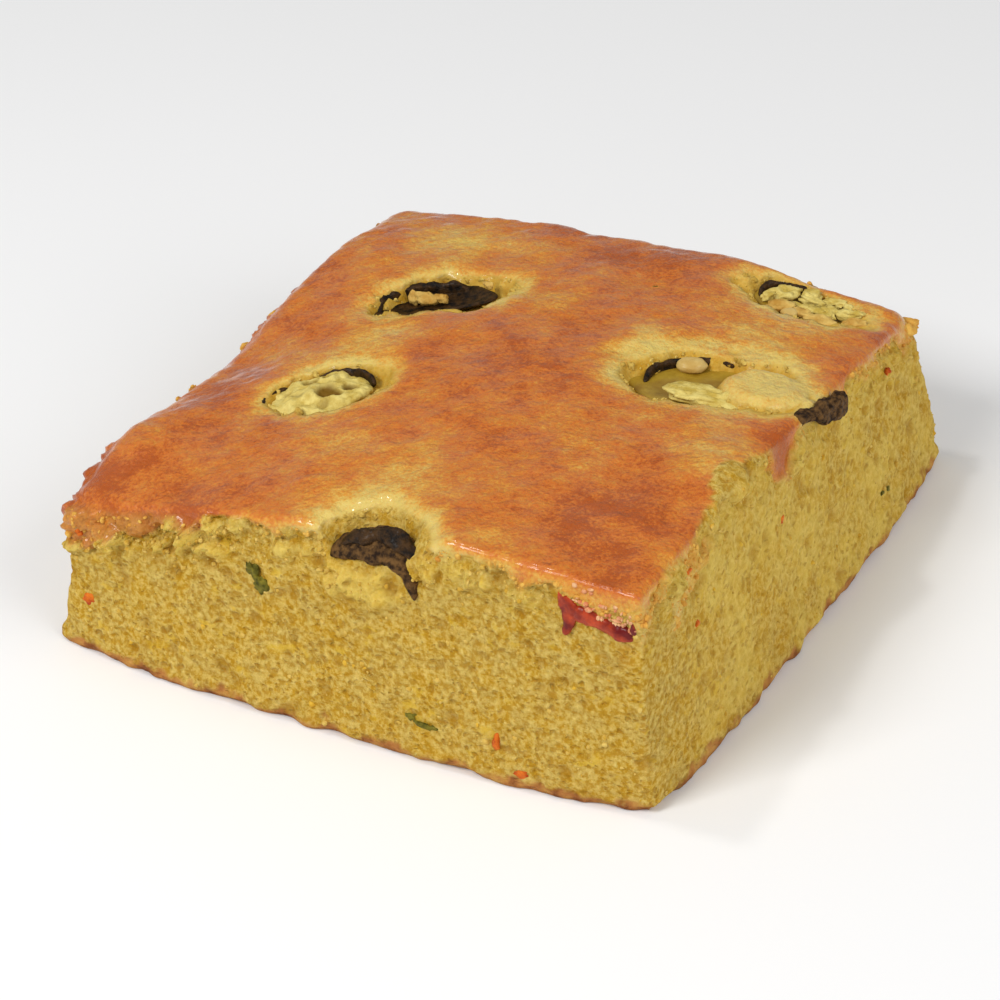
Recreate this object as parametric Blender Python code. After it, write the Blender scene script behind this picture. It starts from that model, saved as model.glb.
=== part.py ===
"""A square of cornbread with pepper slices baked into its top.

Metres, +Z up. The origin is at the centre of the base, on the surface that the bread stands on.
+X runs along the front cut side and +Y away from it, so -Y is the front and +X the right side.

The bread is one block that tapers from its thick front right corner to its thin left and back.
Four slices of green pepper lie in pockets in its top, a piece of a fifth shows in a hollow that
the front cut opened, and a strip of red pepper shows in the front side by the thick corner.
"""

from math import atan2, cos, exp, pi, radians

import bmesh
import bpy
from mathutils import Euler, Matrix, Vector

MM = 0.001

# Driving dimensions of the bread.
FRONT_WIDTH = 85.0 * MM
DEPTH = 86.4 * MM
HEIGHT_FRONT_LEFT = 20.0 * MM
HEIGHT_FRONT_RIGHT = 31.8 * MM
HEIGHT_BACK_RIGHT = 22.8 * MM
HEIGHT_BACK_LEFT = 20.2 * MM
DOME_ACROSS = 3.5 * MM  # how far the top swells between left and right
DOME_ALONG = 2.0 * MM  # and between front and back
BASE_SKEW = 2.2 * MM  # how far the back of the base lies to the right of its front
FRONT_BOW = 3.0 * MM  # how far the foot of the front side bulges
RIGHT_BOW = 2.0 * MM
LEFT_BOW = 0.6 * MM
LEFT_WAIST = 1.3 * MM  # how far the left end draws in between its crust and its foot
EDGE_ROUND = 1.0 * MM  # the width of the worn edge all round

# How far each top corner stands off the base corner below it, towards the right and the back.
LEAN_FRONT_LEFT = Vector((1.8, 1.5)) * MM
LEAN_FRONT_RIGHT = Vector((-0.7, -0.4)) * MM
LEAN_BACK_RIGHT = Vector((-3.9, -1.3)) * MM
LEAN_BACK_LEFT = Vector((0.2, 0.4)) * MM

# Where the top rose or sank in baking: middle x and y, spread and rise.
SWELLS = (
    (-40.0, -31.0, 9.0, 2.8),
    (-40.0, -4.0, 8.0, -1.4),
    (-40.0, 24.0, 13.0, 1.8),
    (12.0, -41.0, 9.0, 0.8),
    (40.0, -14.0, 7.0, 1.3),
    (16.0, 41.0, 9.0, 0.8),
)

# Where the middle of the base comes in the plan above, once the bread is centred on the origin.
CENTRE_SHIFT = Vector((-1.53, 1.24)) * MM

# Mesh fineness of the block.
CELLS_ACROSS = 24
CELLS_UP = 6

# Green pepper slices.
SLICE_THICKNESS = 4.0 * MM
LOBE_DEPTH = 0.05  # how far a slice's three lobes stand out, as a share of its radius
SLICE_STEPS = 40
CLEARANCE = 0.45 * MM  # kept between a piece and the bread around it
CUT_OVERSHOOT = 8.0 * MM  # how far a cutter runs out of the bread

# name: centre x, centre y, half length, half width, turn about Z, depth of its middle under the top.
SLICES = {
    "pepper_slice_back_left": (-18.2, 15.6, 9.8, 6.6, 32.0, 4.2),
    "pepper_slice_left": (-19.4, -13.4, 7.8, 5.8, 40.0, 3.2),
    "pepper_slice_right": (30.0, 6.6, 13.2, 8.0, 8.0, 3.2),
    "pepper_slice_back_right": (28.6, 35.0, 8.8, 4.9, -4.0, 3.0),
}
RIGHT_CUT = 42.0 * MM  # where the right cut goes through the slice that it meets

# Half of a slice's profile from the middle of its top to the middle of its underside:
# the pith, a seed chamber, the wall and its skin, as shares of the radius and half thicknesses.
SLICE_PROFILE = (
    (0.0, 0.50), (0.22, 0.44), (0.36, 0.10), (0.44, -0.35), (0.62, -0.40), (0.70, 0.30),
    (0.76, 0.82), (0.86, 1.00), (0.96, 0.84), (1.0, 0.45), (1.0, -0.50), (0.94, -0.88),
    (0.82, -1.0), (0.40, -1.0), (0.0, -1.0),
)

# The front hollow and the bent piece of pepper in it, whose outline is seen from the front.
HOLLOW_CENTRE = Vector((2.6, -43.6, 30.2)) * MM
HOLLOW_HALF = Vector((14.4, 9.4, 6.4)) * MM
BENT_PIECE_BACK = -37.2 * MM
BENT_PIECE_FRONT = -42.8 * MM
BENT_PIECE_TILT = 0.18  # how steeply the piece climbs from its front to its back
# Each point of a strip's middle line: x, z and half its width.
BENT_SPINE = (
    (-0.6, 24.1, 0.9),
    (2.6, 26.2, 1.4),
    (5.8, 27.1, 1.7),
    (9.0, 26.4, 1.8),
    (11.2, 24.4, 1.2),
    (11.8, 21.6, 0.5),
)

# The strip of red pepper, also seen from the front.
RED_BACK = -40.4 * MM
RED_FRONT = -43.6 * MM
RED_SPINE = (
    (31.6, 25.4, 1.7),
    (33.6, 26.7, 1.3),
    (36.4, 26.4, 0.9),
    (39.0, 25.8, 0.9),
    (40.9, 26.9, 0.7),
)
STEPS_PER_SPAN = 3  # how finely a strip's bends are drawn

SHARP_ANGLE = radians(40)  # faces that meet at more than this show an edge between them

CRUMB_COLOUR = (0.69, 0.45, 0.07)
GREEN_FLESH_COLOUR = (0.30, 0.26, 0.06)
DARK_SKIN_COLOUR = (0.05, 0.03, 0.02)
RED_COLOUR = (0.45, 0.03, 0.01)


def clear_scene():
    """Remove every object, so that the script can be run again."""
    for old in list(bpy.data.objects):
        bpy.data.objects.remove(old, do_unlink=True)


def material(name, colour, roughness):
    """A plain, non-metallic surface."""
    made = bpy.data.materials.new(name)
    made.use_nodes = True
    surface = made.node_tree.nodes["Principled BSDF"]
    surface.inputs["Base Color"].default_value = (*colour, 1.0)
    surface.inputs["Roughness"].default_value = roughness
    surface.inputs["Metallic"].default_value = 0.0
    return made


def add_object(name, mesh, finish=None):
    """An object that shows the mesh, in the scene."""
    made = bpy.data.objects.new(name, mesh)
    bpy.context.scene.collection.objects.link(made)
    if finish is not None:
        mesh.materials.append(finish)
    return made


def mesh_from(name, shape):
    """Turn a bmesh into a mesh with all its faces pointing out."""
    bmesh.ops.recalc_face_normals(shape, faces=shape.faces)
    mesh = bpy.data.meshes.new(name)
    shape.to_mesh(mesh)
    shape.free()
    mesh.shade_smooth()
    mesh.set_sharp_from_angle(angle=SHARP_ANGLE)
    return mesh


def hump(share):
    """0 at both ends of a side and 1 in its middle."""
    return 4.0 * share * (1.0 - share)


def flat_hump(share):
    """As hump, but nearly level between its ends."""
    return 1.0 - (2.0 * share - 1.0) ** 4


def swell(x, y):
    """How far the uneven bake lifts the top at a point of the plan."""
    lift = 0.0
    for middle_x, middle_y, spread, rise in SWELLS:
        away = ((x - middle_x * MM) ** 2 + (y - middle_y * MM) ** 2) / (spread * MM) ** 2
        lift += rise * MM * exp(-away)
    return lift


def between_corners(front_left, front_right, back_right, back_left, across, along):
    """Blend four corner values over the square."""
    front = front_left * (1.0 - across) + front_right * across
    back = back_left * (1.0 - across) + back_right * across
    return front * (1.0 - along) + back * along


def top_height(across, along):
    """Height of the top: the corner heights, swollen in the middle."""
    corners = between_corners(
        HEIGHT_FRONT_LEFT, HEIGHT_FRONT_RIGHT, HEIGHT_BACK_RIGHT, HEIGHT_BACK_LEFT, across, along
    )
    uneven = swell((across - 0.5) * FRONT_WIDTH, (along - 0.5) * DEPTH)
    return corners + DOME_ACROSS * hump(across) + DOME_ALONG * hump(along) + uneven


def block_point(across, along, up):
    """A point of the block, from its shares of the width, depth and height."""
    x = (across - 0.5) * FRONT_WIDTH + BASE_SKEW * along
    y = (along - 0.5) * DEPTH
    lean = between_corners(
        LEAN_FRONT_LEFT, LEAN_FRONT_RIGHT, LEAN_BACK_RIGHT, LEAN_BACK_LEFT, across, along
    )
    foot = (1.0 - up) ** 1.5
    y -= FRONT_BOW * foot * flat_hump(across) * (1.0 - along)
    x += RIGHT_BOW * foot * flat_hump(along) * across
    x -= LEFT_BOW * foot * (1.0 - across)
    x += LEFT_WAIST * hump(up) * (1.0 - across) ** 8
    return Vector((x + lean.x * up, y + lean.y * up, top_height(across, along) * up))


def height_at(x, y):
    """Height of the top over a point of the plan."""
    return top_height(x / FRONT_WIDTH + 0.5, y / DEPTH + 0.5)


def make_block(finish):
    """The bread before any pocket is cut: a gridded slab drawn up to its domed top."""
    shape = bmesh.new()
    bmesh.ops.create_grid(shape, x_segments=CELLS_ACROSS, y_segments=CELLS_ACROSS, size=0.5)
    raised = bmesh.ops.extrude_face_region(shape, geom=shape.faces[:])["geom"]
    for vertex in [part for part in raised if isinstance(part, bmesh.types.BMVert)]:
        vertex.co.z = 1.0
    upright = [edge for edge in shape.edges if abs(edge.verts[0].co.z - edge.verts[1].co.z) > 0.5]
    bmesh.ops.subdivide_edges(shape, edges=upright, cuts=CELLS_UP - 1, use_grid_fill=True)
    base = [face for face in shape.faces if all(corner.co.z < 0.01 for corner in face.verts)]
    bmesh.ops.dissolve_faces(shape, faces=base)
    for vertex in shape.verts:
        vertex.co = block_point(vertex.co.x + 0.5, vertex.co.y + 0.5, vertex.co.z)
    block = add_object("cornbread", mesh_from("cornbread", shape), finish)
    rounding = block.modifiers.new("worn_edges", "BEVEL")
    rounding.width = EDGE_ROUND
    rounding.segments = 2
    rounding.limit_method = "ANGLE"
    rounding.angle_limit = SHARP_ANGLE
    return block


def turned_oval(name, profile, half_length, half_width):
    """Spin a profile of (radius, height) pairs and press the result into a three-lobed oval."""
    shape = bmesh.new()
    corners = [shape.verts.new((radius, 0.0, height)) for radius, height in profile]
    edges = [shape.edges.new(pair) for pair in zip(corners, corners[1:])]
    bmesh.ops.spin(
        shape,
        geom=corners + edges,
        axis=(0.0, 0.0, 1.0),
        cent=(0.0, 0.0, 0.0),
        angle=2.0 * pi,
        steps=SLICE_STEPS,
        use_merge=True,
    )
    bmesh.ops.remove_doubles(shape, verts=shape.verts, dist=0.001 * MM)
    for vertex in shape.verts:
        lobe = 1.0 + LOBE_DEPTH * cos(3.0 * atan2(vertex.co.y, vertex.co.x))
        vertex.co.x *= half_length * lobe
        vertex.co.y *= half_width * lobe
    return mesh_from(name, shape)


def slope_at(x, y):
    """The turn that lays a flat piece along the top at a point of the plan."""
    reach = 4.0 * MM
    rise_x = (height_at(x + reach, y) - height_at(x - reach, y)) / (2.0 * reach)
    rise_y = (height_at(x, y + reach) - height_at(x, y - reach)) / (2.0 * reach)
    return Euler((atan2(rise_y, 1.0), -atan2(rise_x, 1.0), 0.0)).to_matrix().to_4x4()


def pose_of(x, y, turn, sink):
    """Where a slice lies: sunk under the top, along its slope, turned about its own middle."""
    place = Matrix.Translation((x, y, height_at(x, y) - sink))
    return place @ slope_at(x, y) @ Matrix.Rotation(turn, 4, "Z")


def pocket_profile(half_length):
    """A slice's room in the bread: its own shape with clearance, then a flare up to the crust."""
    half = SLICE_THICKNESS / 2.0
    wall = 1.0 + CLEARANCE / half_length * 2.0
    return (
        (0.0, -half - CLEARANCE),
        (0.80 * wall, -half - CLEARANCE),
        (wall, -0.6 * half),
        (wall, 0.7 * half),
        (1.05 * wall, 1.2 * half),
        (1.20 * wall, 3.0 * half),
        (1.20 * wall, half + CUT_OVERSHOOT),
        (0.0, half + CUT_OVERSHOOT),
    )


def make_slice(name, numbers, finish):
    """A slice of green pepper and the cutter of its pocket."""
    x, y, half_length, half_width = (value * MM for value in numbers[:4])
    pose = pose_of(x, y, radians(numbers[4]), numbers[5] * MM)
    half = SLICE_THICKNESS / 2.0
    profile = [(radius, height * half) for radius, height in SLICE_PROFILE]
    piece = add_object(name, turned_oval(name, profile, half_length, half_width), finish)
    piece.matrix_world = pose
    pocket_mesh = turned_oval(
        name + "_pocket", pocket_profile(min(half_length, half_width)), half_length, half_width
    )
    pocket = add_object(name + "_pocket", pocket_mesh)
    pocket.matrix_world = pose
    return piece, pocket


def trim_at_right_cut(piece):
    """Cut a slice off flush with the right side, as the knife did."""
    shape = bmesh.new()
    shape.from_mesh(piece.data)
    shape.transform(piece.matrix_world)
    cut = bmesh.ops.bisect_plane(
        shape,
        geom=shape.verts[:] + shape.edges[:] + shape.faces[:],
        plane_co=(RIGHT_CUT, 0.0, 0.0),
        plane_no=(1.0, 0.0, 0.0),
        clear_outer=True,
    )
    rim = [part for part in cut["geom_cut"] if isinstance(part, bmesh.types.BMEdge)]
    bmesh.ops.triangle_fill(shape, edges=rim, use_beauty=True)
    shape.transform(piece.matrix_world.inverted())
    bmesh.ops.recalc_face_normals(shape, faces=shape.faces)
    shape.to_mesh(piece.data)
    shape.free()


def smooth_spine(spine):
    """A smooth curve through a strip's middle points, as (x, z, half width)."""
    points = [Vector(point) * MM for point in spine]
    ends = [points[0] * 2.0 - points[1]] + points + [points[-1] * 2.0 - points[-2]]
    curve = []
    for before, start, end, after in zip(ends, ends[1:], ends[2:], ends[3:]):
        for step in range(STEPS_PER_SPAN):
            share = step / STEPS_PER_SPAN
            bend = (end - before) * share + (before * 2 - start * 5 + end * 4 - after) * share**2
            curve.append(start + (bend + (start * 3 - before - end * 3 + after) * share**3) / 2)
    return curve + [points[-1]]


def strip_outline(spine, margin):
    """The outline of a bent strip seen from the front: its middle line widened to both sides."""
    curve = smooth_spine(spine)
    near, far = [], []
    for index, point in enumerate(curve):
        before = curve[max(index - 1, 0)]
        after = curve[min(index + 1, len(curve) - 1)]
        along = (after - before).xy.normalized()
        across = Vector((-along.y, along.x)) * (point.z + margin)
        near.append(point.xy - across)
        far.append(point.xy + across)
    tip = curve[0].xy + (curve[0] - curve[1]).xy.normalized() * (curve[0].z + margin)
    tail = curve[-1].xy + (curve[-1] - curve[-2]).xy.normalized() * (curve[-1].z + margin)
    return [tip] + near + [tail] + far[::-1]


def strip_prism(name, spine, front, back, tilt, margin=0.0, overshoot=0.0):
    """A strip's outline pushed through from front to back, climbing by tilt along its way."""
    outline = strip_outline(spine, margin)
    near = front - overshoot
    far = back + margin
    shape = bmesh.new()
    face = shape.faces.new([shape.verts.new((point.x, near, point.y)) for point in outline])
    pushed = bmesh.ops.extrude_face_region(shape, geom=[face])["geom"]
    for vertex in [part for part in pushed if isinstance(part, bmesh.types.BMVert)]:
        vertex.co.y = far
    for vertex in shape.verts:
        vertex.co.z += tilt * (vertex.co.y - front)
    return mesh_from(name, shape)


def make_strip(name, spine, front, back, tilt, finish):
    """A strip of pepper in the front side, and the cutter of its room."""
    piece = add_object(name, strip_prism(name, spine, front, back, tilt), finish)
    room = strip_prism(name + "_room", spine, front, back, tilt, CLEARANCE, CUT_OVERSHOOT)
    return piece, add_object(name + "_room", room)


def make_hollow():
    """The cutter of the hollow that the front cut opened round the bent piece."""
    shape = bmesh.new()
    bmesh.ops.create_icosphere(shape, subdivisions=3, radius=1.0)
    hollow = add_object("front_hollow", mesh_from("front_hollow", shape))
    hollow.data.transform(Matrix.Diagonal((*HOLLOW_HALF, 1.0)))
    hollow.location = HOLLOW_CENTRE
    return hollow


def cut_out(block, cutters):
    """Take each cutter's shape out of the bread."""
    for cutter in cutters:
        cutter.hide_render = True
        cutter.display_type = "WIRE"
        hole = block.modifiers.new(cutter.name, "BOOLEAN")
        hole.operation = "DIFFERENCE"
        hole.object = cutter


def centre_on_origin():
    """Move every piece so that the middle of the bread's base comes to the origin."""
    for piece in bpy.data.objects:
        piece.location += CENTRE_SHIFT.to_3d()


def build():
    """The bread with its pockets, and the pieces of pepper in them."""
    clear_scene()
    crumb = material("crumb", CRUMB_COLOUR, 0.8)
    flesh = material("green_pepper", GREEN_FLESH_COLOUR, 0.35)
    skin = material("dark_pepper", DARK_SKIN_COLOUR, 0.4)
    red = material("red_pepper", RED_COLOUR, 0.35)
    block = make_block(crumb)
    cutters = [make_hollow()]
    for name, numbers in SLICES.items():
        piece, pocket = make_slice(name, numbers, flesh)
        cutters.append(pocket)
        if name == "pepper_slice_right":
            trim_at_right_cut(piece)
    _, room = make_strip(
        "pepper_piece_front", BENT_SPINE, BENT_PIECE_FRONT, BENT_PIECE_BACK, BENT_PIECE_TILT, skin
    )
    cutters.append(room)
    _, room = make_strip("red_pepper_strip", RED_SPINE, RED_FRONT, RED_BACK, 0.0, red)
    cutters.append(room)
    cut_out(block, cutters)
    centre_on_origin()


build()
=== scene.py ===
# %% [markdown]
# # A square of cornbread
#
# The bread is a thick cut square: a glossy, unevenly browned top, four sides of open yellow crumb
# and a thin brown skin underneath. Slices of green pepper sank into the top while it baked, the
# front cut went through one more, and a strip of red pepper shows by the thick corner.
#
# Everything is modelled in millimetres on the plan of the bread, where the front side lies along
# y = -43 and the right side along x = 43, and is turned into metres when it becomes a mesh.

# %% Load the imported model
import itertools
import math

import bmesh
import bpy
import numpy as np
from mathutils import Matrix, Vector


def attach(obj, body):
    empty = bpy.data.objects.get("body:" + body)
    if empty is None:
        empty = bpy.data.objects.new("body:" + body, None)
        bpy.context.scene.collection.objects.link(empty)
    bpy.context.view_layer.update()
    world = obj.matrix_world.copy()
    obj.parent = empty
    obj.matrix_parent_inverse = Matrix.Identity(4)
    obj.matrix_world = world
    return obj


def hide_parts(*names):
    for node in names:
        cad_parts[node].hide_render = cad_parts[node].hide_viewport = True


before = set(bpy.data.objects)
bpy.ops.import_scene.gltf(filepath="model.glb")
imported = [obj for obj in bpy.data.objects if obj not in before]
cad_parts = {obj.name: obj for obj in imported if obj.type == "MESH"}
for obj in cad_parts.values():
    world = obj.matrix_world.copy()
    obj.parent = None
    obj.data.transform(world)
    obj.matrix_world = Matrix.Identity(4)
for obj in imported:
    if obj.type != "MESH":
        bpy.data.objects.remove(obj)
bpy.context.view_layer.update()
print("solids in the frame:", sorted(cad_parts))

# %% [markdown]
# ## Helpers for turning arrays into meshes
#
# A shape here is an array of points. Two kinds are enough: a closed tube, where each row of points
# is a ring, and the bread's own skin, which is the outside of a box lattice. Numpy works out all
# points at once, which keeps a surface of a hundred thousand points quick to make.

# %% Millimetres, and where the middle of the base lies
MM = 0.001
CENTRE_SHIFT = np.array([-1.53, 1.24, 0.0])


def smooth_step(low, high, value):
    """0 below low, 1 above high, and 3t^2 - 2t^3 of the way t between them."""
    t = np.clip((value - low) / (high - low), 0.0, 1.0)
    return t * t * (3.0 - 2.0 * t)


def linked(name, data):
    """An object of that data, in the scene."""
    made = bpy.data.objects.new(name, data)
    bpy.context.scene.collection.objects.link(made)
    return made


def show_mesh(name, points, faces, looks, attributes=None):
    """An object from points in plan millimetres and a list of faces, riding on the bread."""
    mesh = bpy.data.meshes.new(name)
    mesh.from_pydata(((points + CENTRE_SHIFT) * MM).tolist(), [], faces)
    mesh.shade_smooth()
    for label, values in (attributes or {}).items():
        layer = mesh.attributes.new(label, "FLOAT", "POINT")
        layer.data.foreach_set("value", np.asarray(values, np.float32))
    mesh.materials.append(looks)
    piece = linked(name, mesh)
    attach(piece, "root")
    print(name, "has", len(points), "points and", len(faces), "faces")
    return piece


# %% [markdown]
# ## Noise
#
# Baked food is never smooth. Two kinds of randomness describe it: soft noise, which makes swells
# and lumps, and scattered points, which make pores. Both start from a number that is worked out
# from a cell's whole-numbered place, so the same bread comes out each time.

# %% Soft noise and scattered pores
def cell_number(x, y, z, seed):
    """A number from 0 to 1 for each whole-numbered cell, mixed from its place and the seed."""
    mixed = (
        x.astype(np.uint32) * np.uint32(73856093)
        ^ y.astype(np.uint32) * np.uint32(19349663)
        ^ z.astype(np.uint32) * np.uint32(83492791)
        ^ np.uint32(seed * 2654435761 % 4294967296)
    )
    mixed = (mixed ^ (mixed >> np.uint32(15))) * np.uint32(2246822519)
    mixed = (mixed ^ (mixed >> np.uint32(13))) * np.uint32(3266489917)
    return (mixed ^ (mixed >> np.uint32(16))).astype(np.float64) / 4294967296.0


def soft_noise(points, size, seed):
    """Noise from -1 to 1: random values at the corners of cells of that size, blended by
    6t^5 - 15t^4 + 10t^3 along each side."""
    place = points / size
    corner = np.floor(place).astype(np.int64)
    t = place - corner
    t = t**3 * (t * (6.0 * t - 15.0) + 10.0)
    total = np.zeros(points.shape[:-1])
    for step in itertools.product((0, 1), repeat=3):
        weight = np.where(step, t, 1.0 - t).prod(-1)
        total += weight * cell_number(*np.moveaxis(corner + step, -1, 0), seed)
    return total * 2.0 - 1.0


def layered_noise(points, size, layers, seed):
    """Soft noise at a size, plus half as much at half the size, and so on."""
    total = np.zeros(points.shape[:-1])
    for layer in range(layers):
        total += soft_noise(points, size / 2.0**layer, seed + 17 * layer) / 2.0**layer
    return total


def plan_noise(x, y, size, layers, seed):
    """Layered noise on the plan, the same at every height."""
    return layered_noise(np.stack([x, y, np.zeros_like(x)], -1), size, layers, seed)


def pore_depth(points, size, smallest, largest, seed):
    """1 in the middle of a pore, falling to 0 at its edge: one pore somewhere in each cell,
    with a radius between two shares of the cell. The depth is 1 - (distance / radius)^2."""
    place = points / size
    home = np.floor(place).astype(np.int64)
    deepest = np.zeros(points.shape[:-1])
    for step in itertools.product((-1, 0, 1), repeat=3):
        cell = np.moveaxis(home + step, -1, 0)
        away = sum(
            (place[..., axis] - cell[axis] - cell_number(*cell, seed + axis)) ** 2
            for axis in range(3)
        )
        radius = smallest + (largest - smallest) * cell_number(*cell, seed + 3) ** 2
        deepest = np.maximum(deepest, 1.0 - away / radius**2)
    return deepest


# %% [markdown]
# ## The form of the bread
#
# The block is ruled between four corners of different heights and leans, and its top swells in
# the middle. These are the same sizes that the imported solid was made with, so that the detailed
# skin lies on it.

# %% Sizes of the block
WIDTH, DEPTH = 85.0, 86.4
CORNER_HEIGHTS = (20.0, 31.8, 22.8, 20.2)  # front left, front right, back right, back left
CORNER_LEANS = ((1.8, 1.5), (-0.7, -0.4), (-3.9, -1.3), (0.2, 0.4))
DOME_ACROSS, DOME_ALONG = 3.5, 2.0
SWELLS = np.array([  # x, y, spread, rise
    (-40.0, -31.0, 9.0, 2.8),
    (-40.0, -4.0, 8.0, -1.4),
    (-40.0, 24.0, 13.0, 1.8),
    (12.0, -41.0, 9.0, 0.8),
    (40.0, -14.0, 7.0, 1.3),
    (16.0, 41.0, 9.0, 0.8),
])


def hump(share):
    """4t(1 - t): 0 at both ends of a side and 1 in its middle."""
    return 4.0 * share * (1.0 - share)


def flat_hump(share):
    """1 - (2t - 1)^4: as hump, but nearly level between its ends."""
    return 1.0 - (2.0 * share - 1.0) ** 4


def between_corners(values, across, along):
    """Four corner values blended over the square, first across and then along."""
    front = values[0] * (1.0 - across) + values[1] * across
    back = values[3] * (1.0 - across) + values[2] * across
    return front * (1.0 - along) + back * along


def with_bells(value, x, y, rows):
    """A value plus bells. Each row is a middle x and y, a spread s and a rise r, and it adds
    r exp(-d^2 / s^2) at a distance d."""
    for middle_x, middle_y, spread, rise in rows:
        away = ((x - middle_x) ** 2 + (y - middle_y) ** 2) / spread**2
        value = value + rise * np.exp(-away)
    return value


def top_height(x, y):
    """Height of the unbroken top: corner heights, plus a dome, plus a few broad swells."""
    across = x / WIDTH + 0.5
    along = y / DEPTH + 0.5
    height = between_corners(CORNER_HEIGHTS, across, along)
    height = height + DOME_ACROSS * hump(across) + DOME_ALONG * hump(along)
    return with_bells(height, x, y, SWELLS)


print("height over the middle of the bread:", round(float(top_height(0.0, 0.0)), 1), "mm")

# %% [markdown]
# ## Hollows in the top
#
# Batter rose round each slice of pepper and left a hollow: a gentle pale slope, then a steep torn
# wall, then the floor that the pepper lies on. One function of the distance from the hollow's
# middle describes all of them. Each is an oval, turned and a little ragged.

# %% The hollows: middle, half length, half width, turn and depth
HOLLOWS = {
    "back_left": (-18.0, 15.6, 9.4, 5.6, 30.0, 3.4),
    "left": (-19.6, -12.9, 7.9, 5.5, 36.0, 2.6),
    "right": (29.0, 7.2, 12.2, 7.4, 8.0, 3.0),
    "back_right": (28.6, 35.4, 8.8, 4.9, -4.0, 2.8),
    "front": (5.2, -43.4, 7.2, 5.5, 3.0, 4.6),
}
# Batter that rose again inside a hollow: middle, half length, half width, turn, share of depth.
MOUNDS = np.array([
    (35.2, 8.4, 7.6, 6.2, 12.0, 1.12),
    (-16.4, 11.6, 4.6, 2.6, 30.0, 0.55),
    (34.8, 30.8, 4.6, 2.4, -10.0, 0.6),
    (25.6, 30.6, 3.4, 2.0, -10.0, 0.5),
])


def turned(x, y, degrees):
    """A place on the plan turned anticlockwise about the middle of the plan."""
    cosine, sine = math.cos(math.radians(degrees)), math.sin(math.radians(degrees))
    return x * cosine - y * sine, x * sine + y * cosine


def oval_distance(x, y, middle_x, middle_y, half_length, half_width, turn):
    """Distance from an oval's middle, counted in its own half sizes, so that its rim is at 1."""
    along, beside = turned(x - middle_x, y - middle_y, -turn)
    return np.sqrt((along / half_length) ** 2 + (beside / half_width) ** 2)


def oval_place(middle_x, middle_y, half_length, half_width, turn, share, angle):
    """The place at a share of an oval and at an angle counted in the oval's own turn."""
    x, y = turned(share * half_length * np.cos(angle), share * half_width * np.sin(angle), turn)
    return middle_x + x, middle_y + y


def hollow_distance(name, x, y):
    """The oval distance of a hollow, made ragged by two sizes of noise."""
    seed = 40 + 5 * sorted(HOLLOWS).index(name)
    ragged = 0.15 * plan_noise(x, y, 4.4, 1, seed) + 0.09 * plan_noise(x, y, 1.6, 1, seed + 1)
    plain = oval_distance(x, y, *HOLLOWS[name][:5])
    return plain + ragged * smooth_step(0.3, 0.9, plain)


def top_dents(x, y):
    """How deep the hollows go at each point, and how near the point is to the nearest hollow.

    A hollow's depth is three quarters a steep wall and one quarter a gentle slope; a mound takes
    a share of it away again.
    """
    depth = np.zeros_like(x)
    nearest = np.full_like(x, 9.0)
    for name in HOLLOWS:
        away = hollow_distance(name, x, y)
        wall_start = 0.6 if name == "front" else 0.84  # the cut hollow has a gentler wall
        wall = 0.72 * (1.0 - smooth_step(wall_start, 1.06, away))
        slope = 0.28 * (1.0 - smooth_step(0.85, 1.75, away)) ** 2
        depth = np.maximum(depth, HOLLOWS[name][5] * (wall + slope))
        nearest = np.minimum(nearest, away)
    for *oval, share in MOUNDS:
        mound = 1.0 - smooth_step(0.55, 1.1, oval_distance(x, y, *oval))
        depth = depth * (1.0 - share * mound)
        nearest = np.maximum(nearest, 1.3 * mound**0.4 * (share > 0.9))
    return depth, nearest


# %% [markdown]
# ## The skin of the bread
#
# One closed mesh is the whole loaf: the outside of a box lattice whose corners are rounded, whose
# points are then carried onto the block, and which is finally pushed in and out by noise. The
# box lattice keeps the cells nearly square everywhere, which a ball or a polar grid wouldn't.

# %% A box lattice without its floor
CELLS_X, CELLS_Y, CELLS_Z = 204, 204, 68
LATTICE_HEIGHT = 28.0


def box_skin(nx, ny, nz):
    """Whole-numbered places of the points on a box's outside, and its faces seen from outside.

    The floor is one many-sided face, because the bread's underside is flat.
    """
    number = np.full((nx + 1, ny + 1, nz + 1), -1)
    i, j, k = np.indices(number.shape)
    outside = (i == 0) | (i == nx) | (j == 0) | (j == ny) | (k == nz)
    number[outside] = np.arange(outside.sum())
    places = np.argwhere(outside)

    def patch(grid):
        return np.stack([grid[:-1, :-1], grid[1:, :-1], grid[1:, 1:], grid[:-1, 1:]], -1)

    sides = [
        patch(number[:, :, nz]),
        patch(number[:, 0, :]),
        patch(number[nx, :, :]),
        patch(number[:, ny, :])[..., ::-1],
        patch(number[0, :, :])[..., ::-1],
    ]
    quads = np.concatenate([side.reshape(-1, 4) for side in sides])
    floor = np.concatenate([
        number[0, :-1, 0], number[:-1, ny, 0], number[nx, :0:-1, 0], number[:0:-1, 0, 0]
    ])
    return places, quads, floor


def point_normals(points, quads):
    """The direction that each point faces: the sum of its faces' directions, made one long."""
    corner = points[quads]
    facing = np.cross(corner[:, 2] - corner[:, 0], corner[:, 3] - corner[:, 1])
    total = np.zeros_like(points)
    for axis in range(3):
        for side in range(4):
            total[:, axis] += np.bincount(quads[:, side], facing[:, axis], len(points))
    return total / np.maximum(np.linalg.norm(total, axis=1, keepdims=True), 1e-9)


lattice, bread_quads, bread_floor = box_skin(CELLS_X, CELLS_Y, CELLS_Z)
print("lattice points:", len(lattice))

# %% [markdown]
# The lattice is rounded first, while it is still a plain box. A point within a radius r of an
# edge is moved onto a ball of that radius. The baked edges at the back and left are rounder than
# the cut ones at the front and right, so r changes from place to place.

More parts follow.
